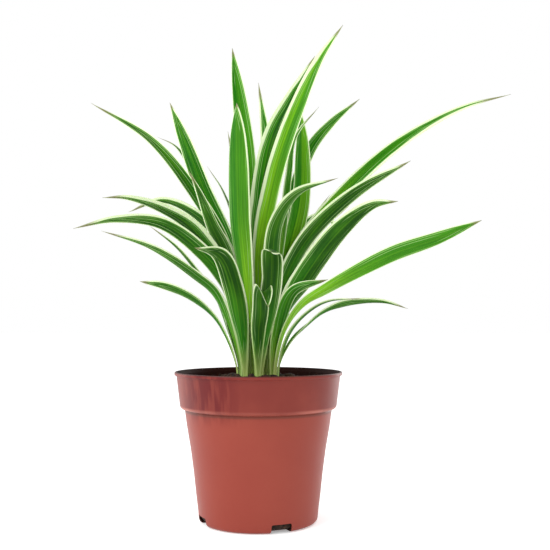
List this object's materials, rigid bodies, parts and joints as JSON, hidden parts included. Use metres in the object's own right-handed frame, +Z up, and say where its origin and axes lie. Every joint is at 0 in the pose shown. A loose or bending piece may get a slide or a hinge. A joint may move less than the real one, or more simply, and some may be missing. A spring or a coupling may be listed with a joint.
{
  "type": "potted spider plant",
  "caption": "Young variegated spider plant with arching strap leaves, growing in a tapered thin-walled round nursery pot.",
  "frame": {"origin": "middle of the pot's foot, on the surface it stands on", "axes": "+Z up along the axis of the pot, -Y towards the front of the picture, +X to the right"},
  "size_m": [0.3233, 0.2275, 0.3543],
  "materials": {
    "pot_plastic": "satin",
    "potting_soil": "matte",
    "pale_root": "satin",
    "green_leaf": "satin"
  },
  "bodies": {
    "root": {"pot": "pot_plastic", "soil": "potting_soil", "rootstock": "pale_root", "leaf_left_high": "green_leaf", "leaf_left_upright": "green_leaf", "leaf_left_dark": "green_leaf", "leaf_left_hidden": "green_leaf", "leaf_front_left_arch": "green_leaf", "leaf_left_arch_upper": "green_leaf", "leaf_left_arch_back": "green_leaf", "leaf_left_arch_long": "green_leaf", "leaf_left_arch_low": "green_leaf", "leaf_left_edge_on": "green_leaf", "leaf_left_lowest": "green_leaf", "leaf_middle_front": "green_leaf", "leaf_middle_tall_back": "green_leaf", "leaf_middle_tallest": "green_leaf", "leaf_front_right_arch": "green_leaf", "leaf_front_fold_high": "green_leaf", "leaf_front_fold_low": "green_leaf", "leaf_right_edge_on": "green_leaf", "leaf_right_long": "green_leaf", "leaf_right_arch_upper": "green_leaf", "leaf_right_dark": "green_leaf", "leaf_right_arch_lower": "green_leaf", "leaf_right_low_long": "green_leaf", "leaf_right_short": "green_leaf", "leaf_right_low_thin": "green_leaf", "leaf_right_lowest": "green_leaf", "leaf_back_far_left": "green_leaf", "leaf_back_narrow_left": "green_leaf", "leaf_back_tallest": "green_leaf", "leaf_back_left": "green_leaf", "leaf_back_low": "green_leaf", "leaf_back_low_left": "green_leaf", "leaf_back_high_left": "green_leaf", "leaf_back_far_tip": "green_leaf", "leaf_back_broad": "green_leaf", "leaf_back_far_right": "green_leaf", "leaf_back_right_tip": "green_leaf", "leaf_back_straight": "green_leaf", "leaf_back_right": "green_leaf", "leaf_back_low_right": "green_leaf", "leaf_back_high_right": "green_leaf"}
  },
  "joints": []
}
